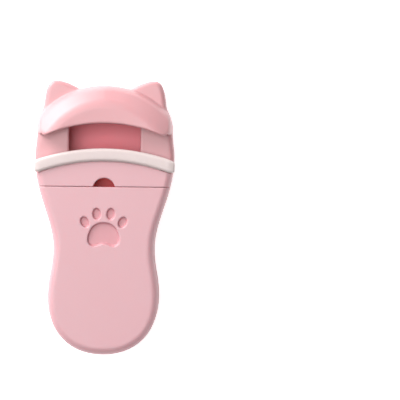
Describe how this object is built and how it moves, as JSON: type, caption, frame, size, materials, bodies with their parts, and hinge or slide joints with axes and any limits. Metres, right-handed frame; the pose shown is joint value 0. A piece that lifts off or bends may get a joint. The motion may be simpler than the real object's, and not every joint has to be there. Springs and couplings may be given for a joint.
{
  "type": "eyelash curler",
  "caption": "Pocket eyelash curler with a cat-eared hooded head, a silicone-padded sliding jaw and a sprung front lever with a paw print.",
  "frame": {"origin": "centre of the outer box, on the flat back the curler lies on", "axes": "+X across the head, +Y from the handle's end to the ears, +Z out of the front"},
  "size_m": [0.0444, 0.0866, 0.0285],
  "materials": {
    "shell_pink": "satin moulded ABS",
    "panel_pink": "satin moulded ABS",
    "carriage_rose": "satin moulded acetal",
    "card_rose": "satin moulded ABS",
    "silicone": "satin silicone rubber",
    "acetal": "satin moulded acetal",
    "steel": "plated"
  },
  "bodies": {
    "body": {"front_shell": "shell_pink", "back_shell": "shell_pink", "window_card": "card_rose", "case_screw_1": "steel", "case_screw_2": "steel", "case_screw_3": "steel", "case_screw_4": "steel", "pivot_pin_left": "steel", "pivot_pin_right": "steel"},
    "lever": {"press_lever": "panel_pink", "lever_frame": "acetal", "lever_screw_1": "steel", "lever_screw_2": "steel", "lever_screw_3": "steel", "lever_screw_4": "steel", "return_spring_left": "steel", "return_spring_right": "steel"},
    "jaw": {"slider_plate": "panel_pink", "slider_carriage": "carriage_rose", "lash_pad": "silicone", "drive_pin": "steel", "drive_pin_ring_left": "steel", "drive_pin_ring_right": "steel", "carriage_screw_left": "steel", "carriage_screw_right": "steel"}
  },
  "joints": [
    {"name": "lever_swing", "type": "hinge", "parent": "body", "child": "lever", "pos_m": [0, 0.0065, 0.0146], "axis": [1, 0, 0], "range_deg": [0, 17.18], "stiffness_Nm_per_rad": 0.25, "springref_deg": -14.32},
    {"name": "jaw_lift", "type": "slide", "parent": "body", "child": "jaw", "axis": [0, 1, 0], "range_m": [0, 0.00765]}
  ],
  "couplings": [
    {"joint": "jaw_lift", "follows": "lever_swing", "m_per_rad": 0.0255}
  ]
}
